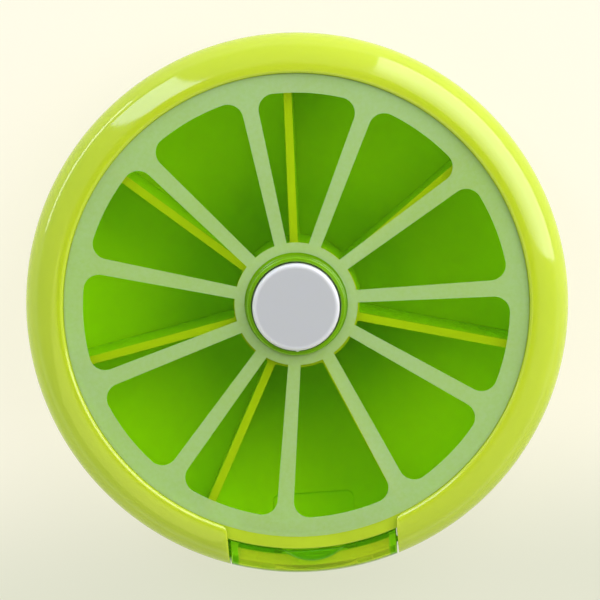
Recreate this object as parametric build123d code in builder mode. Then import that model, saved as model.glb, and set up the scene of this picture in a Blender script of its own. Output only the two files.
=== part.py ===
from build123d import *
from math import asin, cos, degrees, radians, sin, sqrt
import os

# Round weekly pill organizer, lying on its flat back, in millimetres.
# +Z runs along the wheel's axis and out through the window. The door faces -Y.

# Case outline
case_r = 45.0
crest_z = 21.3
rim_round = 4.8
rim_drop = 5.2
tail_step = 0.6
back_round = 4.9
back_rise = 6.0
split_z = 9.5
split_gap = 0.1
skin = 1.6
plate_t = 1.8

# Window and the lip that holds it
lip_flat = 0.9
lip_round = 0.8
window_bite = 1.2
window_t = 1.6
window_drop = 1.0
window_fit = 0.05
hook_wall = 1.05
hook_rise = 0.7
rim_bore_gap = 0.2
hole_gap = 0.44
collar_wall = 0.5
collar_rise = 0.9
collar_round = 0.2

# Frosted citrus-slice print
print_t = 0.15
print_margin = 0.85
rind_w = 3.15
core_gap = 0.39
core_w = 1.63
core_shift = 0.35
segments = 11
slice_turn = 1.0
spoke_aim = 0.65
spoke_lean = 0.4
spoke_core_w = 2.0
spoke_rind_w = 2.8
pulp_corner = 2.6

# Chamber and divider wheel
chamber_step = 0.6
chamber_wall = 1.6
vanes = 7
vane_t = 1.33
vane_gap = 0.4
vane_root = 0.4
wheel_angle = 88.4
hub_wall = 1.1
web_t = 1.6
boss_wall = 1.3
boss_rise = 6.2
bearing_fit = 0.08

# Push button, its retaining ring and its coil spring
button_r = 7.21
button_proud = 2.7
button_round = 0.6
button_wall = 1.3
button_roof = 1.6
button_travel = 2.0
flange_reach = 0.89
flange_t = 1.3
flange_fit = 0.18
stop_gap = 0.03
keys = 3
key_w = 2.2
key_reach = 1.1
key_fit = 0.1
stem_r = 1.8
stem_fit = 0.1
stem_round = 0.5
retainer_t = 1.3
retainer_fit = 0.02
spring_wire = 0.6
spring_coils = 4
spring_sides = 8
spring_side_gap = 0.36
spring_seat_gap = 0.02
gate_nub_r = 0.5
gate_nub_proud = 0.2
gate_nub_drop = 1.0
gate_nub_angle = -92.0

# Lock spring, a steel leaf inside the bearing boss
leaf_t = 0.35
leaf_w = 3.6
leaf_side_gap = 1.3
leaf_leg = 4.4
leaf_gap = 2.0
leaf_slope = 0.45
leaf_bend_r = 0.7
nose_side_gap = 1.7
nose_w = 1.4
nose_bite = 0.6
notch_side_fit = 0.15
notch_top_fit = 0.4
notch_reach = 1.2
stem_gap = 0.2
pad_r = 1.5
pad_rise = 1.2
lock_screw_inset = 2.2
lock_screw_r = 0.8
lock_screw_head_r = 1.25
lock_screw_head_t = 0.8
lock_screw_length = 2.6

# Dispensing notch, chute and door
notch_half = 14.1
notch_corner = 1.6
cheek_angle = 3.4
chute_half = 12.0
chute_sill = 1.2
chute_head = 1.5
recess_half = 6.7
recess_reach = 4.6
recess_depth = 0.6
recess_corner = 1.0
recess_bevel = 0.2
door_gap = 0.3
door_clear = 0.9
door_drop = 2.7
door_plate = 1.0
door_wall = 1.2
door_inner_wall = 0.9
door_tail = 1.5
door_edge = 0.3
thumb_half = 5.3
thumb_reach = 1.9
thumb_rise = 1.0
thumb_depth = 7.0
thumb_round = 0.3
snap_r = 0.6
snap_proud = 0.22
snap_drop = 3.1

# Door hinge
hinge_inset = 2.6
hinge_rise = 2.1
knuckle_half = 6.6
knuckle_r = 1.7
knuckle_web = 1.2
knuckle_slot = 0.6
pin_r = 0.75
pin_fit = 0.05
pin_chamfer = 0.15
ear_gap = 0.2
ear_t = 2.2
ear_lead = 0.4
ear_mouth = 1.3
ear_relief = 0.4

# Case screws and locating tabs
screws = 4
screw_angle = 45.0
screw_inset = 1.55
screw_boss_r = 2.1
screw_r = 0.85
screw_length = 10.0
screw_head_r = 1.4
screw_head_t = 1.0
screw_seat_z = 2.6
screw_hole_fit = 0.1
pilot_fit = 0.01
pilot_spare = 0.6
slot_w = 0.45
head_bevel = 0.4
tip_bevel = 0.5
tabs = 3
tab_arc = 24.0
tab_t = 1.0
tab_rise = 2.0
tab_root = 1.2
tab_fit = 0.1

# Radii worked out from the sizes above
crest_r = case_r - rim_round
tail_r = case_r - tail_step
back_r = tail_r - back_round
aperture_r = crest_r - lip_flat
window_r = aperture_r + window_bite
pocket_r = window_r + window_fit
hook_r = pocket_r + hook_wall
chamber_out = window_r - chamber_step
chamber_r = chamber_out - chamber_wall
rim_bore_r = chamber_out + rim_bore_gap
vane_tip = chamber_r - vane_gap
hole_r = button_r + hole_gap
collar_r = hole_r + collar_wall
print_r = aperture_r - print_margin
pulp_r = print_r - rind_w
core_in_r = collar_r + core_gap
core_out_r = core_in_r + core_w
flange_r = button_r + flange_reach
hub_bore = flange_r + flange_fit
key_r = flange_r + key_reach
keyway_r = key_r + key_fit
hub_r = keyway_r + hub_wall
boss_r = hub_bore - bearing_fit
boss_in_r = boss_r - boss_wall
button_in_r = button_r - button_wall
retainer_bore = (hole_r + button_r) / 2
spring_mean_r = button_in_r - spring_side_gap - spring_wire / 2
stem_hole_r = stem_r + stem_fit
screw_ring_r = chamber_out + screw_inset
bore_r = pin_r + pin_fit

# Heights worked out from the sizes above
widest_z = crest_z - rim_drop
rear_top = split_z - split_gap / 2
rim_low = split_z + split_gap / 2
window_top = crest_z - window_drop
window_low = window_top - window_t
collar_top = window_top + collar_rise
chamber_top = window_low - window_fit
hook_low = window_low - hook_rise
vane_low = plate_t + vane_gap
vane_top = window_low - vane_gap
boss_top = plate_t + boss_rise
web_low = boss_top + bearing_fit
web_top = web_low + web_t
seat_z = vane_top - retainer_t
flange_top = seat_z - stop_gap
flange_low = flange_top - flange_t
keyway_low = flange_low - button_travel - key_fit
button_top = window_top + button_proud
roof_low = button_top - button_roof
chute_low = plate_t + chute_sill
chute_high = chamber_top - chute_head

# Lock spring's places in the plane of the X and Z axes
leaf_bend_x = leaf_side_gap - boss_in_r
leaf_tail_x = leaf_bend_x + leaf_leg
leaf_nose_x = boss_in_r - nose_side_gap
leaf_low_z = plate_t + pad_rise
leaf_high_z = leaf_low_z + leaf_gap
leaf_top = leaf_high_z + leaf_slope + leaf_t
stem_tip = leaf_top + stem_gap
nose_top = web_low + nose_bite
lock_screw_x = leaf_bend_x + lock_screw_inset
lock_screw_seat = leaf_low_z + leaf_t
lock_screw_tip = lock_screw_seat - lock_screw_length

# Door's places
pivot_y = hinge_inset - tail_r
pivot_z = plate_t + hinge_rise
door_half = notch_half - door_gap
door_in_r = chamber_out + door_clear
door_top = crest_z - door_drop
door_low = pivot_z + door_tail
thumb_y = -sqrt(door_in_r**2 - thumb_half**2)
ear_in = knuckle_half + ear_gap
ear_out = ear_in + ear_t
notch_arc = 2 * (degrees(asin(notch_half / chamber_out)) + cheek_angle)


def radial_plane(angle):
    """A plane through the axis: its x runs outwards at the angle, its y runs up."""
    turn = radians(angle)
    return Plane(origin=(0, 0, 0), x_dir=(cos(turn), sin(turn), 0), z_dir=(sin(turn), -cos(turn), 0))


def case_outline(inset):
    """Half section of the closed case, shrunk by the inset, as a closed line."""
    Line((0, inset), (back_r, inset))
    heel = EllipticalCenterArc(
        (back_r, back_rise), back_round - inset, back_rise - inset, start_angle=-90, arc_size=90
    )
    Line(heel @ 1, (case_r - inset, widest_z))
    nose = EllipticalCenterArc(
        (crest_r, widest_z), rim_round - inset, rim_drop - inset, start_angle=0, arc_size=90
    )
    Polyline(nose @ 1, (0, crest_z - inset), (0, inset))


def section_box(r_in, r_out, z_low, z_high, mode=Mode.ADD):
    """A rectangle in a radial section, given by its sides."""
    with Locations(((r_in + r_out) / 2, (z_low + z_high) / 2)):
        Rectangle(r_out - r_in, z_high - z_low, mode=mode)


def block(x_sides, y_sides, z_sides, mode=Mode.ADD):
    """A box given by its sides."""
    sides = (x_sides, y_sides, z_sides)
    with Locations(tuple((low + high) / 2 for low, high in sides)):
        Box(*[high - low for low, high in sides], mode=mode)


def screw(head_r, head_t, shank_r, length):
    """A slotted screw along +Z, with its head's underside at the origin."""
    with BuildPart() as fastener:
        with BuildSketch(Plane.XZ):
            section_box(0, head_r, -head_t, 0)
            section_box(0, shank_r, -head_t, length)
            chamfer(vertices().group_by(Axis.Y)[0].sort_by(Axis.X)[-1], head_t * head_bevel)
            chamfer(vertices().group_by(Axis.Y)[-1].sort_by(Axis.X)[-1], shank_r * tip_bevel)
        revolve(axis=Axis.Z)
        with BuildSketch(Plane.XY.offset(-head_t)):
            Rectangle(3 * head_r, slot_w)
        extrude(amount=head_t / 2, mode=Mode.SUBTRACT)
    return fastener.part


os.makedirs("parts", exist_ok=True)

# Hollow between the chamber wall and the skin, left solid at the notch's cheeks and the screws
with BuildPart() as hollow:
    with BuildSketch(radial_plane(notch_arc / 2 - 90)):
        with BuildLine():
            case_outline(skin)
        make_face()
        section_box(chamber_out, case_r, plate_t, crest_z, mode=Mode.INTERSECT)
    revolve(axis=Axis.Z, revolution_arc=360 - notch_arc)
    with PolarLocations(screw_ring_r, screws, start_angle=screw_angle):
        Cylinder(screw_boss_r, 2 * crest_z, mode=Mode.SUBTRACT)

# Rear case: back plate, chamber wall, skin and bearing boss in one section
with BuildPart() as rear_case:
    with BuildSketch(Plane.XZ):
        with BuildLine():
            case_outline(0)
        make_face()
        section_box(0, case_r, rear_top, crest_z, mode=Mode.SUBTRACT)
        section_box(0, chamber_r, plate_t, rear_top, mode=Mode.SUBTRACT)
        section_box(chamber_r, chamber_out, plate_t, chamber_top)
        section_box(boss_in_r, boss_r, plate_t, boss_top)
    revolve(axis=Axis.Z)
    add(hollow.part, mode=Mode.SUBTRACT)

    # Locating tabs that reach up inside the front rim's skin
    tab_out = tail_r - skin + tail_step * (rear_top - back_rise) / (widest_z - back_rise) - tab_fit
    for tab in range(tabs):
        with BuildSketch(radial_plane(90 * tab - tab_arc / 2)):
            section_box(tab_out - tab_t, tab_out, rear_top - tab_root, rear_top + tab_rise)
            section_box(tab_out - tab_t, tab_out + skin, rear_top - tab_root, rear_top)
        revolve(axis=Axis.Z, revolution_arc=tab_arc)

    # Screw holes with counterbores from the back
    with PolarLocations(screw_ring_r, screws, start_angle=screw_angle):
        Cylinder(screw_r + screw_hole_fit, 3 * split_z, mode=Mode.SUBTRACT)
        Cylinder(screw_head_r + screw_hole_fit, 2 * screw_seat_z, mode=Mode.SUBTRACT)

    # Notch outside the chamber wall, and a slot that the knuckle's web swings into
    with BuildSketch(Plane.XY.offset(plate_t)):
        with Locations((0, -case_r)):
            Rectangle(2 * notch_half, case_r)
        Circle(chamber_out, mode=Mode.SUBTRACT)
    extrude(amount=case_r, mode=Mode.SUBTRACT)
    block((-ear_in, ear_in), (-2 * case_r, pivot_y + knuckle_slot), (-1, pivot_z), mode=Mode.SUBTRACT)

    # Chute through the chamber wall, and the shallow recess that leads to it
    block(
        (-chute_half, chute_half), (-chamber_out - 1, -chamber_r / 2), (chute_low, chute_high),
        mode=Mode.SUBTRACT,
    )
    with BuildSketch(Plane.XY.offset(plate_t)):
        with Locations((0, recess_reach - chamber_r)):
            Rectangle(2 * recess_half, 2 * recess_reach, align=(Align.CENTER, Align.MAX))
        fillet(vertices().group_by(Axis.Y)[-1], recess_corner)
        Circle(chamber_r, mode=Mode.INTERSECT)
    extrude(amount=-recess_depth, mode=Mode.SUBTRACT)
    recess_rim = edges().filter_by_position(Axis.Z, plate_t, plate_t)
    recess_rim = recess_rim.filter_by_position(Axis.Y, -chamber_out, recess_reach - chamber_r)
    chamfer(recess_rim.filter_by_position(Axis.X, -recess_half, recess_half), recess_bevel)

    # Open hinge ears that the pin snaps into from outside
    for ear_start in (ear_in, -ear_out):
        with BuildSketch(Plane.YZ.offset(ear_start)):
            with Locations((pivot_y, pivot_z)):
                Circle(knuckle_r)
            section_box(pivot_y - ear_lead, pivot_y + knuckle_r, plate_t, pivot_z)
            with Locations((pivot_y, pivot_z)):
                Circle(bore_r, mode=Mode.SUBTRACT)
            section_box(
                pivot_y - 2 * knuckle_r, pivot_y, pivot_z - ear_mouth / 2, pivot_z + ear_mouth / 2,
                mode=Mode.SUBTRACT,
            )
        extrude(amount=ear_t)

    # Pad with a blind hole for the lock spring's screw
    with Locations((lock_screw_x, 0, (plate_t + leaf_low_z) / 2)):
        Cylinder(pad_r, leaf_low_z - plate_t)
    with BuildSketch(Plane.XY.offset(leaf_low_z)):
        with Locations((lock_screw_x, 0)):
            Circle(lock_screw_r + pilot_fit)
    extrude(amount=lock_screw_tip - leaf_low_z - pilot_fit, mode=Mode.SUBTRACT)
rear_case.part.label = "rear_case"
export_step(rear_case.part, "parts/rear_case.step")

# Front rim: a bullnose ring whose lip holds the window down on the chamber wall
with BuildPart() as front_rim:
    with BuildSketch(Plane.XZ):
        with BuildLine():
            case_outline(0)
        make_face()
        section_box(0, case_r, 0, rim_low, mode=Mode.SUBTRACT)
        section_box(0, aperture_r, rim_low, crest_z, mode=Mode.SUBTRACT)
        inner_edge = vertices().filter_by(lambda v: abs(v.X - aperture_r) < 0.01 and v.Y > window_top)
        fillet(inner_edge, min(lip_round, 0.95 * lip_flat))
    revolve(axis=Axis.Z)
    add(hollow.part, mode=Mode.SUBTRACT)
    with BuildSketch(Plane.XZ):
        section_box(pocket_r, hook_r, hook_low, window_top)
    revolve(axis=Axis.Z)
    with BuildSketch(Plane.XZ):
        section_box(0, rim_bore_r, 0, window_top)
        section_box(0, pocket_r, hook_low, window_top)
    revolve(axis=Axis.Z, mode=Mode.SUBTRACT)
    with BuildSketch(Plane.XY.offset(rim_low)):
        with PolarLocations(screw_ring_r, screws, start_angle=screw_angle):
            Circle(screw_r + pilot_fit)
    extrude(amount=screw_seat_z + screw_length + pilot_spare - rim_low, mode=Mode.SUBTRACT)

    # Notch, with the lip's two corners rounded towards the window
    block((-notch_half, notch_half), (-2 * case_r, 0), (0, 2 * crest_z), mode=Mode.SUBTRACT)
    with BuildSketch(Plane.XY.offset(window_low)):
        Circle(aperture_r)
        with Locations((0, -case_r)):
            Rectangle(2 * notch_half, case_r)
        fillet(vertices().filter_by(lambda v: v.Y > -case_r), notch_corner)
    extrude(amount=crest_z, mode=Mode.SUBTRACT)
front_rim.part.label = "front_rim"
export_step(front_rim.part, "parts/front_rim.step")

# Window, a clear disc with a low collar round the button
with BuildPart() as window:
    with BuildSketch(Plane.XZ):
        section_box(hole_r, window_r, window_low, window_top)
        section_box(hole_r, collar_r, window_low, collar_top)
        fillet(vertices().group_by(Axis.Y)[-1], collar_round)
    revolve(axis=Axis.Z)
window.part.label = "window"
export_step(window.part, "parts/window.step")

# Frosted print: a rind, a core ring and the spokes between the segments
with BuildPart() as slice_print:
    with BuildSketch(Plane.XY.offset(window_top)):
        Circle(print_r)
        Circle(pulp_r, mode=Mode.SUBTRACT)
        with Locations((0, core_shift)):
            Circle(core_out_r)
        for spoke in range(segments):
            rind_end = Vector(pulp_r + rind_w / 2, 0).rotate(Axis.Z, slice_turn + 360 / segments * spoke)
            to_aim = Vector(0, spoke_aim) - rind_end
            along = to_aim.normalized().rotate(Axis.Z, -degrees(asin(spoke_lean / to_aim.length)))
            across = along.rotate(Axis.Z, 90)
            core_end = rind_end + along * (to_aim.length - core_in_r)
            Polygon(
                rind_end - across * (spoke_rind_w / 2), core_end - across * (spoke_core_w / 2),
                core_end + across * (spoke_core_w / 2), rind_end + across * (spoke_rind_w / 2),
                align=None,
            )
        corners = vertices().filter_by(lambda v: abs(Vector(v.X, v.Y).length - pulp_r) < 0.01)
        fillet(corners, pulp_corner)
        with Locations((0, core_shift)):
            Circle(core_in_r, mode=Mode.SUBTRACT)
    extrude(amount=print_t)
slice_print.part.label = "slice_print"
export_step(slice_print.part, "parts/slice_print.step")

# Divider wheel: hub and vanes in one plan, then the hub's bores
with BuildPart() as divider_wheel:
    with BuildSketch(Plane.XY.offset(vane_low)):
        Circle(hub_r)
        with PolarLocations(vane_tip / 2, vanes, start_angle=wheel_angle):
            Rectangle(vane_tip, vane_t)
        roots = vertices().filter_by(lambda v: abs(Vector(v.X, v.Y).length - hub_r) < 0.01)
        fillet(roots, vane_root)
    extrude(amount=vane_top - vane_low)
    with BuildSketch(Plane.XZ):
        section_box(0, hub_bore, vane_low, web_low)
        section_box(0, stem_hole_r, web_low, web_top)
        section_box(0, hub_bore, web_top, seat_z)
        section_box(0, keyway_r, seat_z, vane_top)
    revolve(axis=Axis.Z, mode=Mode.SUBTRACT)

    # Keyways for the button, and a lock notch for each day
    with BuildSketch(Plane.XY.offset(keyway_low)):
        with PolarLocations((hub_bore + keyway_r) / 2 - hub_wall, keys):
            Rectangle(keyway_r - hub_bore + 2 * hub_wall, key_w + 2 * key_fit)
        Circle(keyway_r, mode=Mode.INTERSECT)
    extrude(amount=seat_z - keyway_low, mode=Mode.SUBTRACT)
    with BuildSketch(Plane.XY.offset(web_low)):
        with PolarLocations(leaf_nose_x, vanes):
            Rectangle(2 * notch_reach, nose_w + 2 * notch_side_fit)
    extrude(amount=nose_bite + notch_top_fit, mode=Mode.SUBTRACT)
divider_wheel.part.label = "divider_wheel"
export_step(divider_wheel.part, "parts/divider_wheel.step")

# Retaining ring, snapped into the hub's mouth over the button's flange
with BuildPart() as button_retainer:
    with BuildSketch(Plane.XZ):
        section_box(retainer_bore, keyway_r - retainer_fit, seat_z, vane_top)
        chamfer(vertices().group_by(Axis.Y)[0].sort_by(Axis.X)[-1], retainer_t / 5)
    revolve(axis=Axis.Z)
button_retainer.part.label = "button_retainer"
export_step(button_retainer.part, "parts/button_retainer.step")

# Push button: a cap with a flange and keys, and a stem that reaches the lock spring
with BuildPart() as push_button:
    with BuildSketch(Plane.XZ):
        section_box(0, button_r, flange_low, button_top)
        fillet(vertices().group_by(Axis.Y)[-1].sort_by(Axis.X)[-1], button_round)
        section_box(0, flange_r, flange_low, flange_top)
        section_box(0, button_in_r, flange_low, roof_low, mode=Mode.SUBTRACT)
        section_box(0, stem_r, stem_tip, roof_low)
        fillet(vertices().group_by(Axis.Y)[0].sort_by(Axis.X)[-1], stem_round)
    revolve(axis=Axis.Z)
    with BuildSketch(Plane.XY.offset(flange_low)):
        with PolarLocations((button_r + key_r) / 2, keys):
            Rectangle(key_r - button_r, key_w)
        Circle(key_r, mode=Mode.INTERSECT)
    extrude(amount=flange_t)
    nub_r = button_r + gate_nub_proud - gate_nub_r
    nub_x = nub_r * cos(radians(gate_nub_angle))
    nub_y = nub_r * sin(radians(gate_nub_angle))
    with Locations((nub_x, nub_y, button_top - gate_nub_drop)):
        Sphere(gate_nub_r)
push_button.part.label = "push_button"
export_step(push_button.part, "parts/push_button.step")

# Coil spring between the wheel's web and the button's roof, its round wire drawn with flats
with BuildPart() as button_spring:
    spring_low = web_top + spring_seat_gap + spring_wire / 2
    spring_height = roof_low - spring_seat_gap - spring_wire / 2 - spring_low
    with BuildLine(Plane.XY.offset(spring_low)) as coil:
        Helix(spring_height / spring_coils, spring_height, spring_mean_r)
    with BuildSketch(Plane(origin=coil.line @ 0, z_dir=coil.line % 0)):
        RegularPolygon(spring_wire / 2, spring_sides)
    sweep(path=coil.line, is_frenet=True)
button_spring.part.label = "button_spring"
export_step(button_spring.part, "parts/button_spring.step")

# Lock spring: a folded leaf whose nose stands in one of the web's notches
with BuildPart() as lock_spring:
    with BuildSketch(Plane.XZ.offset(-leaf_w / 2)):
        with BuildLine():
            FilletPolyline(
                (leaf_tail_x, leaf_low_z + leaf_t / 2),
                (leaf_bend_x, leaf_low_z + leaf_t / 2),
                (leaf_bend_x, leaf_high_z + leaf_t / 2),
                (leaf_nose_x, leaf_high_z + leaf_slope + leaf_t / 2),
                (leaf_nose_x, nose_top),
                radius=leaf_bend_r,
            )
        trace(line_width=leaf_t)
    extrude(amount=leaf_w)
    for side in (-1, 1):
        block(
            (leaf_nose_x - 1, boss_in_r),
            tuple(sorted((side * nose_w / 2, side * leaf_w))),
            (leaf_top, nose_top + 1),
            mode=Mode.SUBTRACT,
        )
    with Locations((lock_screw_x, 0, leaf_low_z)):
        Cylinder(lock_screw_r + screw_hole_fit, 4 * leaf_t, mode=Mode.SUBTRACT)
lock_spring.part.label = "lock_spring"
export_step(lock_spring.part, "parts/lock_spring.step")

# Screw that holds the lock spring down on its pad
lock_screw_shape = screw(lock_screw_head_r, lock_screw_head_t, lock_screw_r, lock_screw_length)
with BuildPart() as lock_spring_screw:
    with Locations(Location((lock_screw_x, 0, lock_screw_seat), (180, 0, 0))):
        add(lock_screw_shape)
lock_spring_screw.part.label = "lock_spring_screw"
export_step(lock_spring_screw.part, "parts/lock_spring_screw.step")

# Case screws, driven in from the back
case_screw_shape = screw(screw_head_r, screw_head_t, screw_r, screw_length)
with BuildPart(Plane.XY.offset(screw_seat_z)) as case_screws:
    with PolarLocations(screw_ring_r, screws, start_angle=screw_angle):
        add(case_screw_shape)
case_screws.part.label = "case_screws"
export_step(case_screws.part, "parts/case_screws.step")

# Door hinge pin
with BuildPart() as door_hinge_pin:
    with BuildSketch(Plane.YZ.offset(-ear_out)):
        with Locations((pivot_y, pivot_z)):
            Circle(pin_r)
    extrude(amount=2 * ear_out)
    chamfer(edges().filter_by(GeomType.CIRCLE), pin_chamfer)
door_hinge_pin.part.label = "door_hinge_pin"
export_step(door_hinge_pin.part, "parts/door_hinge_pin.step")

# Inside of the door's shell, open towards the back
with BuildPart() as door_hollow:
    with BuildSketch(radial_plane(-90 - notch_arc / 2)):
        with BuildLine():
            case_outline(door_wall)
        make_face()
        section_box(
            door_in_r + door_inner_wall, case_r, pivot_z, door_top - door_plate, mode=Mode.INTERSECT
        )
    revolve(axis=Axis.Z, revolution_arc=notch_arc)
    inner_half = door_half - door_wall
    block((-inner_half, inner_half), (-case_r, 0), (0, crest_z), mode=Mode.INTERSECT)
    block((-knuckle_half, knuckle_half), (-case_r, 0), (0, door_low + knuckle_web), mode=Mode.SUBTRACT)

# Dispensing door: a clear shell in the notch, with a knuckle and a lens-shaped thumb lip
with BuildPart() as dispensing_door:
    with BuildSketch(radial_plane(-90 - notch_arc / 2)):
        with BuildLine():
            case_outline(0)
        make_face()
        section_box(door_in_r, case_r, pivot_z, door_top, mode=Mode.INTERSECT)
    revolve(axis=Axis.Z, revolution_arc=notch_arc)
    block((-door_half, door_half), (-case_r, 0), (0, crest_z), mode=Mode.INTERSECT)
    upper_edges = edges().group_by(Axis.Z)[-1]
    fillet(upper_edges, door_edge)
    add(door_hollow.part, mode=Mode.SUBTRACT)
    for side in (-1, 1):
        block(
            tuple(sorted((side * knuckle_half, side * 2 * door_half))),
            (-2 * case_r, 0),
            (0, door_low),
            mode=Mode.SUBTRACT,
        )
    with BuildSketch(Plane.XY.offset(door_top - thumb_depth)):
        with BuildLine():
            ThreePointArc((-thumb_half, thumb_y), (0, -door_in_r), (thumb_half, thumb_y))
            ThreePointArc((thumb_half, thumb_y), (0, -door_in_r - thumb_reach), (-thumb_half, thumb_y))
        make_face()
    extrude(amount=thumb_depth + thumb_rise)
    fillet(edges().group_by(Axis.Z)[-1], thumb_round)
    snap_y = -(door_in_r + tail_r) / 2 * cos(asin(door_half / tail_r))
    for side in (-1, 1):
        snap_plane = Plane(origin=(side * door_half, snap_y, door_top - snap_drop), z_dir=(side, 0, 0))
        with BuildSketch(snap_plane):
            Circle(snap_r)
        extrude(amount=snap_proud, taper=45)

    # Knuckle on the pin, and room for the case's ears beside it
    for relief_start in (knuckle_half, -ear_out - ear_gap):
        with BuildSketch(Plane.YZ.offset(relief_start)):
            with Locations((pivot_y, pivot_z)):
                Circle(knuckle_r + ear_relief)
        extrude(amount=ear_gap + ear_t + ear_gap, mode=Mode.SUBTRACT)
    with BuildSketch(Plane.YZ.offset(-knuckle_half)):
        with Locations((pivot_y, pivot_z)):
            Circle(knuckle_r)
    extrude(amount=2 * knuckle_half)
    with BuildSketch(Plane.YZ.offset(-knuckle_half)):
        with Locations((pivot_y, pivot_z)):
            Circle(bore_r)
    extrude(amount=2 * knuckle_half, mode=Mode.SUBTRACT)
dispensing_door.part.label = "dispensing_door"
export_step(dispensing_door.part, "parts/dispensing_door.step")
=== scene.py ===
import math

import bpy
from mathutils import Matrix, Vector


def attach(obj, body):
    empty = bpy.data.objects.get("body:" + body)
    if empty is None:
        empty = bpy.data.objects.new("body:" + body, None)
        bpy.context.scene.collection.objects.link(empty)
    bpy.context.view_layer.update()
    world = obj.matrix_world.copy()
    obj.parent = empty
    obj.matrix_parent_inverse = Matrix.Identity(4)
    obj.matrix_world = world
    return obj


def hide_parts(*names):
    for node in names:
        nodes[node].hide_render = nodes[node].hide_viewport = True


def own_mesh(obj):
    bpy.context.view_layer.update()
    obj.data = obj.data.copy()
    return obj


MM = 0.001
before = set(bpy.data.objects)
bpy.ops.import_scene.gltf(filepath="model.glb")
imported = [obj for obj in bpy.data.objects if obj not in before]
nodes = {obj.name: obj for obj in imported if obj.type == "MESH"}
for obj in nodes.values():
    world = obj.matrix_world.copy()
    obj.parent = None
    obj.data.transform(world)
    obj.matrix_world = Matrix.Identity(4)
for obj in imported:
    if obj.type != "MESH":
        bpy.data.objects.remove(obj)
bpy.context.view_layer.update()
scene = bpy.context.scene

# Axes along which a material measures a distance
sideways = (1, 0, 0)
outward = (1, 1, 0)
upward = (0, 0, 1)


# Node helpers
def new_tree(name):
    """A material with an empty node tree and its output."""
    material = bpy.data.materials.new(name)
    material.use_nodes = True
    tree = material.node_tree
    tree.nodes.clear()
    out = tree.nodes.new("ShaderNodeOutputMaterial")
    return material, tree, out


def principled(tree, color, roughness, ior=1.49, **extra):
    """A Principled shader with plain numbers on its sockets."""
    shader = tree.nodes.new("ShaderNodeBsdfPrincipled")
    shader.inputs["Base Color"].default_value = (*color, 1.0)
    shader.inputs["Roughness"].default_value = roughness
    shader.inputs["IOR"].default_value = ior
    for socket, value in extra.items():
        shader.inputs[socket.replace("_", " ")].default_value = value
    return shader


def noise(tree, waves, detail, stretch=(1.0, 1.0, 1.0)):
    """Noise in the object's own space, its size given in waves per metre."""
    place = tree.nodes.new("ShaderNodeTexCoord")
    turn = tree.nodes.new("ShaderNodeMapping")
    turn.inputs["Scale"].default_value = stretch
    wave = tree.nodes.new("ShaderNodeTexNoise")
    wave.inputs["Scale"].default_value = waves
    wave.inputs["Detail"].default_value = detail
    tree.links.new(place.outputs["Object"], turn.inputs["Vector"])
    tree.links.new(turn.outputs["Vector"], wave.inputs["Vector"])
    return wave.outputs["Fac"]


def spread(tree, value, low, high, start=0.3, end=0.7, soft=False):
    """The value's range from start to end stretched to run from low to high."""
    node = tree.nodes.new("ShaderNodeMapRange")
    node.interpolation_type = "SMOOTHSTEP" if soft else "LINEAR"
    node.inputs["From Min"].default_value = start
    node.inputs["From Max"].default_value = end
    node.inputs["To Min"].default_value = low
    node.inputs["To Max"].default_value = high
    tree.links.new(value, node.inputs["Value"])
    return node.outputs["Result"]


def vary(tree, socket, waves, detail, low, high, stretch=(1.0, 1.0, 1.0)):
    """A socket's value made uneven by noise."""
    tree.links.new(spread(tree, noise(tree, waves, detail, stretch), low, high), socket)


def mix_colors(tree, factor, first, second):
    """A colour that runs from first to second, each of them a plain colour or a link."""
    node = tree.nodes.new("ShaderNodeMix")
    node.data_type = "RGBA"
    for socket, color in (("A", first), ("B", second)):
        if isinstance(color, tuple):
            node.inputs[socket].default_value = (*color, 1.0)
        else:
            tree.links.new(color, node.inputs[socket])
    tree.links.new(factor, node.inputs["Factor"])
    return node.outputs["Result"]


def cloudy(tree, color, waves, darker):
    """A colour with clouds in a darker tone of it."""
    cloud = spread(tree, noise(tree, waves, 3.0), 0.0, 1.0)
    dark = tuple(darker * part for part in color)
    return mix_colors(tree, cloud, dark, color)


def bump(tree, shader, waves, strength):
    """Fine relief on a shader, 0.02 mm deep at full strength."""
    node = tree.nodes.new("ShaderNodeBump")
    node.inputs["Strength"].default_value = strength
    node.inputs["Distance"].default_value = 0.02 * MM
    tree.links.new(noise(tree, waves, 2.0), node.inputs["Height"])
    tree.links.new(node.outputs["Normal"], shader.inputs["Normal"])


def zone(tree, axes, start, end, low=0.0, high=1.0, center=(0.0, 0.0)):
    """A value that runs from low to high between two distances from a centre, in millimetres."""
    place = tree.nodes.new("ShaderNodeTexCoord")
    shift = tree.nodes.new("ShaderNodeVectorMath")
    shift.operation = "SUBTRACT"
    shift.inputs[1].default_value = (center[0] * MM, center[1] * MM, 0.0)
    keep = tree.nodes.new("ShaderNodeVectorMath")
    keep.operation = "MULTIPLY"
    keep.inputs[1].default_value = axes
    tree.links.new(place.outputs["Object"], shift.inputs[0])
    tree.links.new(shift.outputs["Vector"], keep.inputs[0])
    length = tree.nodes.new("ShaderNodeVectorMath")
    length.operation = "LENGTH"
    tree.links.new(keep.outputs["Vector"], length.inputs[0])
    return spread(tree, length.outputs["Value"], low, high, start * MM, end * MM)


def combine(tree, operation, first, *others):
    """Values put together, such as multiplied, or the largest of them."""
    for other in others:
        node = tree.nodes.new("ShaderNodeMath")
        node.operation = operation
        tree.links.new(first, node.inputs[0])
        tree.links.new(other, node.inputs[1])
        first = node.outputs["Value"]
    return first


def mix_shaders(tree, out, share, first, second):
    """The surface shows first, and second by the given share."""
    mix = tree.nodes.new("ShaderNodeMixShader")
    tree.links.new(share, mix.inputs["Fac"])
    tree.links.new(first, mix.inputs[1])
    tree.links.new(second, mix.inputs[2])
    tree.links.new(mix.outputs["Shader"], out.inputs["Surface"])


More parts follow.
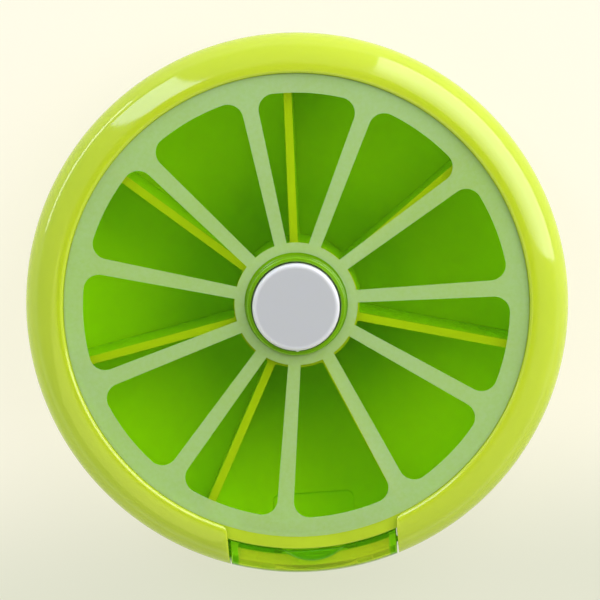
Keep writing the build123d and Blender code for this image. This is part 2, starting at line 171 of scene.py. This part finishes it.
# Materials
def paint_shade_middle(tree, tone, color, edge, soft, low, high, painted_glow=None):
    """Painted shade: another colour inside a radius and between two heights, each with a soft end,
    standing in for how the faces there are shaded and lit by bounced light.

    Painted light: the colour runs to a brighter, painted glow on its way outward, where thin walls
    would let light in."""
    glow_start, glow_end = 17.0, 36.0
    near = zone(tree, outward, edge - soft, edge + soft, 1.0, 0.0)
    above = zone(tree, upward, *low)
    below = zone(tree, upward, *high, 1.0, 0.0)
    middle = combine(tree, "MULTIPLY", near, above, below)
    if painted_glow:
        color = mix_colors(tree, zone(tree, outward, glow_start, glow_end), color, painted_glow)
    return mix_colors(tree, middle, tone, color)


def moulded_plastic(name, dark, light, rough_low, rough_high, glow=0.0, ior=1.64, painted_middle=None):
    """Glossy moulded plastic: faint flow marks in its colour, fine scuffs in its gloss."""
    material, tree, out = new_tree(name)
    shader = principled(
        tree, light, rough_low, ior,
        Subsurface_Weight=glow, Subsurface_Radius=(1.0, 1.0, 0.3), Subsurface_Scale=2.0 * MM,
    )
    flow = spread(tree, noise(tree, 28.0, 3.0), 0.0, 1.0)
    tone = mix_colors(tree, flow, dark, light)
    # Painted shade in the middle, when given
    if painted_middle:
        tone = paint_shade_middle(tree, tone, **painted_middle)
    tree.links.new(tone, shader.inputs["Base Color"])
    vary(tree, shader.inputs["Roughness"], 900.0, 4.0, rough_low, rough_high, (1.0, 0.25, 1.0))
    bump(tree, shader, 160.0, 0.05)
    tree.links.new(shader.outputs["BSDF"], out.inputs["Surface"])
    return material


def let_lamps_through(tree, out, shader, tint):
    """Shadow rays pass the shader's surface and take its tint."""
    through = tree.nodes.new("ShaderNodeBsdfTransparent")
    tree.links.new(tint, through.inputs["Color"])
    path = tree.nodes.new("ShaderNodeLightPath")
    shadow = path.outputs["Is Shadow Ray"]
    mix_shaders(tree, out, shadow, shader.outputs["BSDF"], through.outputs["BSDF"])


def window_plastic(name, inner, hub, rough):
    """Clear green disc, stained more deeply round the button than behind the segments."""
    hub_start, hub_end = 9.0, 9.8
    material, tree, out = new_tree(name)
    shader = principled(tree, inner, rough, 1.5, Transmission_Weight=1.0)
    near_hub = zone(tree, outward, hub_start, hub_end, 1.0, 0.0)
    tone = mix_colors(tree, near_hub, cloudy(tree, inner, 60.0, 0.96), hub)
    tree.links.new(tone, shader.inputs["Base Color"])
    vary(tree, shader.inputs["Roughness"], 700.0, 3.0, rough, 2.5 * rough)
    one_side = tree.nodes.new("ShaderNodeGamma")
    one_side.inputs["Gamma"].default_value = 0.5
    tree.links.new(tone, one_side.inputs["Color"])
    let_lamps_through(tree, out, shader, one_side.outputs["Color"])
    return material


def door_plastic(name, panel, edge, rough):
    """Slightly milky clear green shell, with a painted glow: a richer, brighter green painted on
    its walls and lip, where the view runs along them.
    """
    end_wall = (12.5, 12.7)
    inner_wall = (41.6, 41.8)
    outer_wall = (43.4, 44.8)
    thumb_lip = (7.3, 7.45)
    thumb_y = -35.324
    outer_share = 0.4
    material, tree, out = new_tree(name)
    shader = principled(tree, panel, rough, 1.5, Transmission_Weight=0.75)
    ends = zone(tree, sideways, *end_wall)
    inner = zone(tree, outward, *inner_wall, 1.0, 0.0)
    outer = zone(tree, outward, *outer_wall, 0.0, outer_share)
    thumb = zone(tree, outward, *thumb_lip, 1.0, 0.0, (0.0, thumb_y))
    # Painted glow: where the walls and lip take the richer green
    walls = combine(tree, "MAXIMUM", ends, inner, outer, thumb)
    tone = mix_colors(tree, walls, cloudy(tree, panel, 120.0, 0.95), edge)
    tree.links.new(tone, shader.inputs["Base Color"])
    vary(tree, shader.inputs["Roughness"], 500.0, 3.0, rough, 2.5 * rough)
    let_lamps_through(tree, out, shader, tone)
    return material


def window_land(name, color):
    """The window's welded margin, where the wall under it shows through solid and bright."""
    material, tree, out = new_tree(name)
    shader = principled(
        tree, color, 0.12, 1.5,
        Subsurface_Weight=0.3, Subsurface_Radius=(1.0, 1.0, 0.3), Subsurface_Scale=1.0 * MM,
    )
    tree.links.new(cloudy(tree, color, 140.0, 0.86), shader.inputs["Base Color"])
    vary(tree, shader.inputs["Roughness"], 700.0, 3.0, 0.08, 0.18)
    tree.links.new(shader.outputs["BSDF"], out.inputs["Surface"])
    return material


def frosted_ink(name, dark, light, cover, passing):
    """Screen-printed ink, grainy and cloudy: how much it covers, and the light that it lets by."""
    material, tree, out = new_tree(name)
    shader = principled(tree, light, 0.42)
    grain = spread(tree, noise(tree, 1500.0, 4.0), 0.0, 0.5)
    cloud = spread(tree, noise(tree, 45.0, 2.0), 0.0, 0.5)
    tone = mix_colors(tree, combine(tree, "ADD", grain, cloud), dark, light)
    tree.links.new(tone, shader.inputs["Base Color"])
    vary(tree, shader.inputs["Roughness"], 2200.0, 2.0, 0.36, 0.5)
    bump(tree, shader, 2600.0, 0.1)
    through = tree.nodes.new("ShaderNodeBsdfTransparent")
    path = tree.nodes.new("ShaderNodeLightPath")
    share = spread(tree, path.outputs["Is Shadow Ray"], 1.0 - cover, passing, 0.0, 1.0)
    mix_shaders(tree, out, share, shader.outputs["BSDF"], through.outputs["BSDF"])
    return material


def steel(name, color, rough_low, rough_high):
    """Drawn or turned steel with fine lines in its gloss."""
    material, tree, out = new_tree(name)
    shader = principled(tree, color, rough_low, 2.5, Metallic=1.0)
    vary(tree, shader.inputs["Roughness"], 1800.0, 3.0, rough_low, rough_high, (0.2, 1.0, 1.0))
    tree.links.new(cloudy(tree, color, 400.0, 0.8), shader.inputs["Base Color"])
    tree.links.new(shader.outputs["BSDF"], out.inputs["Surface"])
    return material


# Finishes, with the radii and heights, in millimetres, of a middle with painted shade
lime_dark = (0.475, 0.625, 0.020)
lime_light = (0.53, 0.665, 0.030)
rib_dark = (0.465, 0.565, 0.030)
rib_light = (0.505, 0.595, 0.040)
# Painted shade and bounce light: a darker, greener floor and walls inside the case, with painted
# light brightening them outward towards the thin walls
chamber_painted_shade = {
    "color": (0.295, 0.62, 0.002), "painted_glow": (0.60, 1.0, 0.002),
    "edge": 38.45, "soft": 0.05, "low": (0.5, 0.9), "high": (17.0, 18.6),
}
# Painted shade and bounce light: the vanes' sides below their tops in a greener colour than the
# tops
vane_sides_painted_shade = {
    "color": (0.37, 0.72, 0.003),
    "edge": 39.0, "soft": 0.05, "low": (0.5, 0.9), "high": (16.5, 18.2),
}
# Painted shade: a grey face inside the white button's rounded edge, where it faces the dim light
# from the front
button_face_painted_shade = {
    "color": (0.495, 0.515, 0.515),
    "edge": 6.7, "soft": 0.35, "low": (21.5, 22.5), "high": (24.0, 25.0),
}
lime = moulded_plastic("lime_plastic", lime_dark, lime_light, 0.05, 0.09, 0.5)
lime_case = moulded_plastic("lime_plastic_case", lime_dark, lime_light, 0.11, 0.18, painted_middle=chamber_painted_shade)
lime_wheel = moulded_plastic("lime_plastic_wheel", rib_dark, rib_light, 0.11, 0.18, painted_middle=vane_sides_painted_shade)
white = moulded_plastic(
    "white_plastic", (0.74, 0.76, 0.76), (0.77, 0.79, 0.79), 0.28, 0.32, 0.1, 1.5, button_face_painted_shade
)
clear = window_plastic("green_clear", (0.84, 0.965, 0.28), (0.74, 0.95, 0.32), 0.012)
clear_land = window_land("green_clear_land", (0.50, 0.67, 0.030))
clear_collar = window_land("green_clear_collar", (0.18, 0.43, 0.003))
# The door's panel colour, and the richer green of the painted glow on its walls and lip
clear_door = door_plastic("green_clear_door", (0.84, 0.95, 0.06), (0.28, 0.78, 0.006), 0.012)
ink = frosted_ink("frosted_print", (0.35, 0.54, 0.125), (0.39, 0.57, 0.24), 0.8, 0.9)
spring_steel = steel("spring_steel", (0.60, 0.60, 0.58), 0.22, 0.34)
screw_steel = steel("screw_steel", (0.52, 0.52, 0.53), 0.28, 0.42)

finishes = {
    "rear_case": lime_case,
    "divider_wheel": lime_wheel,
    "button_retainer": lime,
    "dispensing_door": clear_door,
    "slice_print": ink,
    "push_button": white,
    "lock_spring_screw": screw_steel,
    "case_screws": screw_steel,
    "door_hinge_pin": spring_steel,
}
for name, finish in finishes.items():
    slots = nodes[name].material_slots
    if not slots:
        nodes[name].data.materials.append(finish)
    for slot in slots:
        slot.material = finish


# Tiny rounded edges, as a mould leaves them
def soften(piece, width):
    """Rounded edges of a width in millimetres, with flat faces that still shade flat."""
    bevel = piece.modifiers.new("soften", "BEVEL")
    bevel.width = width * MM
    bevel.segments = 2
    bevel.limit_method = "ANGLE"
    bevel.angle_limit = math.radians(40.0)
    shade_flat_faces(piece)


def shade_flat_faces(piece):
    """Smooth shading that leaves the large faces flat."""
    piece.modifiers.new("shade", "WEIGHTED_NORMAL").keep_sharp = True


for name in ("rear_case", "dispensing_door", "divider_wheel"):
    weld = nodes[name].modifiers.new("weld", "WELD")
    weld.merge_threshold = 0.002 * MM
    whole = nodes[name].modifiers.new("merge", "DECIMATE")
    whole.decimate_type = "DISSOLVE"
    whole.angle_limit = math.radians(0.2)
    soften(nodes[name], 0.12)


# Mesh helpers, all in millimetres
def make_piece(name, points, faces, finish, body, replaced):
    """A smooth mesh piece that rides a body in place of a CAD node."""
    mesh = bpy.data.meshes.new(name)
    mesh.from_pydata([[MM * part for part in point] for point in points], [], faces)
    mesh.polygons.foreach_set("use_smooth", [True] * len(mesh.polygons))
    mesh.materials.append(finish)
    mesh.update()
    piece = bpy.data.objects.new(name, mesh)
    scene.collection.objects.link(piece)
    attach(piece, body)
    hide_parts(replaced)
    return piece


def round_corners(corners, steps=4):
    """A line of (x, y, radius) corners with each corner drawn as an arc."""
    line = []
    for index, (x, y, radius) in enumerate(corners):
        here = Vector((x, y))
        if radius == 0:
            line.append(here)
            continue
        before = (Vector(corners[index - 1][:2]) - here).normalized()
        after = (Vector(corners[(index + 1) % len(corners)][:2]) - here).normalized()
        half = before.angle(after) / 2
        middle = here + (before + after).normalized() * radius / math.sin(half)
        start = here + before * radius / math.tan(half) - middle
        end = here + after * radius / math.tan(half) - middle
        sweep = start.angle_signed(end)
        for step in range(steps + 1):
            turn = -sweep * step / steps
            line.append(middle + Matrix.Rotation(turn, 2) @ start)
    return line


def lathe(section, steps):
    """Points and faces of a closed section of (radius, height) turned round the Z axis."""
    points = []
    for step in range(steps):
        turn = 2 * math.pi * step / steps
        points += [(r * math.cos(turn), r * math.sin(turn), z) for r, z in section]
    count = len(section)
    faces = []
    for step in range(steps):
        here = step * count
        there = (step + 1) % steps * count
        for k in range(count):
            m = (k + 1) % count
            faces.append((here + k, there + k, there + m, here + m))
    return points, faces


# Front rim: a bullnose ring with a lip over the window, open at the door's notch
def make_rim():
    # Heights, from the parting line up
    low, widest, land, hollow_top, window_top, crest = 9.55, 16.1, 18.0, 18.6, 20.3, 21.3
    # Radii, from the lip outward
    inner_r, crest_r, lip_r, bore_r, pocket_r, hollow_r = 38.55, 39.0, 39.15, 40.1, 40.55, 41.6
    foot_r, skin = 44.611, 1.6
    # Half axes of the bullnose's ellipse
    across, up = 6.0, 5.2
    nose_steps, nose_turn = 38, math.radians(2.2)
    lip_steps = 6
    hollow_steps, hollow_turn = 7, math.radians(7.0)
    # Notch: its half width, how far its sides lean in below, and its corner
    notch, draft, corner_r = 14.1, 0.27, 1.6
    corner_x = notch + corner_r
    corner_reach = inner_r + corner_r
    corner_y = -math.sqrt(corner_reach * corner_reach - corner_x * corner_x)
    corner_end = math.hypot(notch, corner_y)

    # Outside, from the parting line up to the crest
    outside = [(foot_r, low)]
    for step in range(nose_steps):
        turn = nose_turn * step
        outside.append((crest_r + across * math.cos(turn), widest + up * math.sin(turn)))
    rise = math.sqrt(1.0 - ((corner_end - crest_r) / across) ** 2)
    outside.append((corner_end, widest + up * rise))

    # Lip, and its underside at the same radii
    lip_round = lip_r - inner_r
    lip = [(lip_r, crest)]
    for step in range(1, lip_steps + 1):
        turn = math.radians(90.0 + 90.0 * step / lip_steps)
        height = crest - lip_round + lip_round * math.sin(turn)
        lip.append((lip_r + lip_round * math.cos(turn), height))
    under = [(r, window_top) for r, z in reversed(lip)] + [(corner_end, window_top)]
    pocket = [(pocket_r, window_top), (pocket_r, land)]

    # Inside, hollow along the ring and solid beside the notch
    hollow = [(hollow_r, land), (hollow_r, hollow_top)]
    for step in reversed(range(hollow_steps + 1)):
        turn = hollow_turn * step
        reach = crest_r + (across - skin) * math.cos(turn)
        hollow.append((reach, widest + (up - skin) * math.sin(turn)))
    hollow.append((foot_r - skin, low))
    last = len(hollow) - 1
    solid = [(bore_r, land - (land - low) * step / last) for step in range(last + 1)]

    # Angle at which the ring ends, from straight down, at the corner and at the notch's side
    def end_angle(r, z):
        if z > land + 1.0 and r < corner_end:
            sides = r * r + corner_reach * corner_reach - corner_r * corner_r
            cosine = min(sides / (2 * r * corner_reach), 1.0)
            return math.atan2(corner_x, -corner_y) - math.acos(cosine)
        half = notch - draft * min(max((land - z) / (land - low), 0.0), 1.0)
        return math.asin(half / r)

    # The solid cheek's rings lie between the end and the hollow
    cheek = math.radians(23.6)
    shares = (0.0, 0.35, 0.7, 1.0)

    def cheek_angle(r, z, share):
        near = end_angle(r, z)
        return near + share * (cheek - near)

    shared = outside + lip + under + pocket
    points = []

    def add_ring(inside, angle):
        for r, z in shared + inside:
            turn = angle(r, z) - math.pi / 2
            points.append((r * math.cos(turn), r * math.sin(turn), z))

    steps = 360
    hair = 0.001
    start = cheek + hair
    span = 2 * math.pi - 2 * start
    for share in shares:
        add_ring(solid, lambda r, z: cheek_angle(r, z, share))
    for step in range(steps + 1):
        add_ring(hollow, lambda r, z: start + span * step / steps)
    for share in reversed(shares):
        add_ring(solid, lambda r, z: -cheek_angle(r, z, share))

    count = len(shared) + len(hollow)
    faces = []
    for ring in range(len(points) // count - 1):
        here = ring * count
        for k in range(count):
            m = (k + 1) % count
            faces.append((here + k, here + count + k, here + count + m, here + m))

    # Ends: the lip's strip in quads, and the rest in one face
    first = len(outside) - 1
    last_under = len(outside) + len(lip) + len(under) - 1
    cap = list(range(first + 1)) + list(range(last_under, count))
    end = len(points) - count
    faces.append(tuple(cap))
    faces.append(tuple(end + k for k in reversed(cap)))
    for k in range(len(lip)):
        top, below = first + k, last_under - k
        faces.append((top, top + 1, below - 1, below))
        faces.append((end + top + 1, end + top, end + below, end + below - 1))
    rim = make_piece("bullnose_rim", points, faces, lime, "case", "front_rim")
    soften(rim, 0.12)


make_rim()


# Window with rounded edges, a fillet round its collar and a solid-looking welded margin
def make_window():
    low, high, collar_top = 18.7, 20.3, 21.2
    hole, collar, cover, land, edge = 7.42, 8.15, 9.2, 38.3, 40.5
    section = round_corners([
        (hole, low, 0.1), (cover, low, 0), (land, low, 0), (edge, low, 0.15),
        (edge, high, 0.2), (land, high, 0), (cover, high, 0), (collar, high, 0.25),
        (collar, collar_top, 0.2), (hole, collar_top, 0.2),
    ])
    points, faces = lathe(section, 288)
    window = make_piece("window_disc", points, faces, clear, "case", "window")
    window.data.materials.append(clear_land)
    window.data.materials.append(clear_collar)
    for face in window.data.polygons:
        radius = Vector(face.center[:2]).length
        face.material_index = 1 if radius > land * MM else 2 if radius < cover * MM else 0
    shade_flat_faces(window)


make_window()


# Coil spring with closed ends; the real spring shortens as the button goes down, while this mesh
# keeps one length
def make_button_spring():
    low, high = 9.7, 21.38
    radius, wire = 5.25, 0.3
    turns, closed, ease = 5.6, 0.8, 0.3
    steps, sides = 48, 12

    # How open the coil is at each step: shut at both ends, with a short ramp between
    slopes = []
    for step in range(int(turns * steps)):
        turn = (step + 0.5) / steps
        from_end = min(turn, turns - turn)
        slopes.append(min(max((from_end - closed) / ease, 0.0), 1.0))
    rise = high - low - 2 * wire
    shut_rise = 2 * wire / steps
    open_rise = (rise - shut_rise * len(slopes)) / sum(slopes)

    points = []
    height = low + wire
    for step in range(len(slopes) + 1):
        turn = 2 * math.pi * step / steps
        away = Vector((math.cos(turn), math.sin(turn), 0.0))
        for side in range(sides):
            lean = 2 * math.pi * side / sides
            ring = away * (radius + wire * math.cos(lean))
            points.append(ring + Vector((0.0, 0.0, height + wire * math.sin(lean))))
        if step < len(slopes):
            height += shut_rise + open_rise * slopes[step]

    faces = []
    for step in range(len(slopes)):
        near = step * sides
        far = near + sides
        for side in range(sides):
            next_side = (side + 1) % sides
            faces.append((near + side, far + side, far + next_side, near + next_side))
    faces.append(tuple(range(sides)))
    faces.append(tuple(len(slopes) * sides + side for side in reversed(range(sides))))
    spring = make_piece(
        "button_coil", points, faces, spring_steel, "wheel", "button_spring"
    )
    shade_flat_faces(spring)
    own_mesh(spring)


make_button_spring()


# Lock spring, a folded leaf; on the real part its nose drops out of the wheel's notch as the button
# goes down, which this mesh does not do
def make_lock_spring():
    bend, tail, nose = -5.6, -1.2, 5.2
    low, high, slope, tip = 3.175, 5.175, 0.45, 8.68
    half_w, half_nose, half_t = 1.8, 0.7, 0.175
    fold = 0.7
    nose_start = high + slope + 0.5
    line = round_corners([
        (tail, low, 0), (bend, low, fold), (bend, high, fold), (nose, high + slope, fold),
        (nose, tip, 0),
    ], 8)
    points = []
    for index, here in enumerate(line):
        ahead = line[min(index + 1, len(line) - 1)] - line[max(index - 1, 0)]
        across = Vector((-ahead.y, ahead.x)).normalized() * half_t
        wide = half_nose if here.y > nose_start else half_w
        for side, face in ((-1, -1), (1, -1), (1, 1), (-1, 1)):
            spot = here + across * face
            points.append((spot.x, side * wide, spot.y))
    faces = []
    for index in range(len(line) - 1):
        near = 4 * index
        far = near + 4
        for side in range(4):
            next_side = (side + 1) % 4
            faces.append((near + side, near + next_side, far + next_side, far + side))
    faces.append((3, 2, 1, 0))
    last = 4 * (len(line) - 1)
    faces.append((last, last + 1, last + 2, last + 3))
    leaf = make_piece(
        "lock_leaf", points, faces, spring_steel, "case", "lock_spring"
    )
    soften(leaf, 0.04)
    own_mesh(leaf)


make_lock_spring()


# Floor, pale where the photograph's backdrop and table are
def make_floor():
    size, drop = 3.0, 0.05 * MM
    table, backdrop = (0.775, 0.785, 0.635), (1.0, 0.965, 0.80)
    table_end, backdrop_start = -52.0 * MM, -18.0 * MM
    shown = 0.8
    mesh = bpy.data.meshes.new("floor")
    corners = [(-size, -size, 0), (size, -size, 0), (size, size, 0), (-size, size, 0)]
    mesh.from_pydata(corners, [], [(0, 1, 2, 3)])
    floor = bpy.data.objects.new("floor", mesh)
    scene.collection.objects.link(floor)
    floor.location.z = -drop

    material, tree, out = new_tree("floor_paper")
    place = tree.nodes.new("ShaderNodeTexCoord")
    split = tree.nodes.new("ShaderNodeSeparateXYZ")
    tree.links.new(place.outputs["Object"], split.inputs["Vector"])
    back = spread(tree, split.outputs["Y"], 0.0, 1.0, table_end, backdrop_start, True)
    tone = mix_colors(tree, back, table, backdrop)
    matt = tree.nodes.new("ShaderNodeBsdfDiffuse")
    light = tree.nodes.new("ShaderNodeEmission")
    tree.links.new(tone, matt.inputs["Color"])
    tree.links.new(tone, light.inputs["Color"])

    # The floor's own colour for the camera, and for gloss and clear plastic
    path = tree.nodes.new("ShaderNodeLightPath")
    rays = ("Is Camera Ray", "Is Glossy Ray", "Is Transmission Ray")
    seen = combine(tree, "ADD", *(path.outputs[ray] for ray in rays))
    share = spread(tree, seen, 0.0, shown, 0.0, 1.0)
    mix_shaders(tree, out, share, matt.outputs["BSDF"], light.outputs["Emission"])
    mesh.materials.append(material)


make_floor()


# World, pale at the horizon, dimmer above, and dark overhead where the camera is
def make_world():
    world = bpy.data.worlds.new("studio")
    scene.world = world
    world.use_nodes = True
    tree = world.node_tree
    tree.nodes.clear()
    out = tree.nodes.new("ShaderNodeOutputWorld")
    back = tree.nodes.new("ShaderNodeBackground")
    place = tree.nodes.new("ShaderNodeTexCoord")
    split = tree.nodes.new("ShaderNodeSeparateXYZ")
    tree.links.new(place.outputs["Generated"], split.inputs["Vector"])
    ramp = tree.nodes.new("ShaderNodeValToRGB")
    stops = ramp.color_ramp.elements
    levels = ((0.08, 0.95), (0.35, 0.46), (0.93, 0.44), (0.975, 0.03))
    for index, (height, level) in enumerate(levels):
        stop = stops[index] if index < len(stops) else stops.new(height)
        stop.position = height
        stop.color = (0.98 * level, level, level, 1.0)
    tree.links.new(split.outputs["Z"], ramp.inputs["Fac"])
    tree.links.new(ramp.outputs["Color"], back.inputs["Color"])
    back.inputs["Strength"].default_value = 1.0
    tree.links.new(back.outputs["Background"], out.inputs["Surface"])


make_world()


# Lamps, placed round the middle of the part's height, their places and sizes in degrees
lamp_center = Vector((0.0, 0.0, 0.012))
neutral = (1.0, 1.0, 1.0)
cool = (0.95, 0.89, 1.0)
sky = (0.62, 0.66, 1.0)
warm = (0.96, 0.97, 0.30)


def area_lamp(name, azimuth, place, facing, wide, high, level, color):
    """A rectangular lamp that looks as bright as its level, whatever its size in metres."""
    lamp = bpy.data.lights.new(name, "AREA")
    lamp.shape = "RECTANGLE"
    lamp.size = wide
    lamp.size_y = high
    lamp.energy = level * math.pi * wide * high
    lamp.color = color
    holder = bpy.data.objects.new(name, lamp)
    scene.collection.objects.link(holder)
    side = Vector((-math.sin(azimuth), math.cos(azimuth), 0.0))
    axes = Matrix((side, facing.cross(side), facing)).transposed().to_quaternion()
    holder.matrix_world = Matrix.LocRotScale(lamp_center + place, axes, None)
    holder.visible_camera = False


def soft_lamp(name, azimuth, zenith, wide, high, level, color):
    """A lamp turned to the object."""
    distance = 0.8
    turn = math.radians(azimuth)
    lean = math.radians(zenith)
    flat = math.sin(lean)
    away = Vector((math.cos(turn) * flat, math.sin(turn) * flat, math.cos(lean)))
    width = 2 * distance * math.tan(math.radians(wide / 2)) * flat
    height = 2 * distance * math.tan(math.radians(high / 2))
    area_lamp(name, turn, distance * away, away, width, height, level, color)


def window_lamp(name, azimuth, top, bottom, wide, level, color):
    """An upright lamp, like a window, between two zenith angles."""
    distance = 0.5
    turn = math.radians(azimuth)
    upper = distance / math.tan(math.radians(top))
    lower = distance / math.tan(math.radians(bottom))
    width = 2 * distance * math.tan(math.radians(wide / 2))
    away = Vector((math.cos(turn), math.sin(turn), 0.0))
    place = distance * away + Vector((0.0, 0.0, (upper + lower) / 2))
    area_lamp(name, turn, place, away, width, upper - lower, level, color)


key_bands = ((18.0, 26.0, 0.95), (26.0, 35.0, 1.8), (35.0, 46.0, 2.75), (46.0, 83.0, 3.65))
for number, (top, bottom, level) in enumerate(key_bands):
    window_lamp(f"key_{number}", 34.0, top, bottom, 66.0, level, cool)
window_lamp("patch", 127.0, 20.0, 71.0, 19.0, 4.4, sky)
soft_lamp("edge_line", 147.0, 83.0, 36.0, 5.0, 4.5, neutral)
soft_lamp("fill", 225.0, 35.0, 60.0, 40.0, 0.95, warm)


# Camera at the photograph's viewing angle, its focal length and aim in the picture's pixels
def make_camera():
    tilt, yaw, roll = math.radians(5.65), math.radians(1.66), math.radians(-4.04)
    distance, sensor = 0.9, 36.0
    picture, focal = 600.0, 5396.4
    aim_right, aim_up, aim_height = 2.51, 0.61, 11.5 * MM
    away = Vector((
        math.sin(yaw) * math.cos(tilt), math.sin(tilt), math.cos(tilt) * math.cos(yaw)
    ))
    up = Vector((-math.sin(roll), math.cos(roll), 0.0))
    up = (up - up.dot(away) * away).normalized()
    right = up.cross(away)
    shift = (aim_right * right + aim_up * up) * distance / focal
    place = Vector((0.0, 0.0, aim_height)) + shift + distance * away
    axes = Matrix((right, up, away)).transposed().to_quaternion()
    data = bpy.data.cameras.new("camera")
    data.sensor_width = sensor
    data.lens = sensor * focal / picture
    camera = bpy.data.objects.new("camera", data)
    scene.collection.objects.link(camera)
    camera.matrix_world = Matrix.LocRotScale(place, axes, None)
    scene.camera = camera


make_camera()
scene.view_settings.view_transform = "Standard"
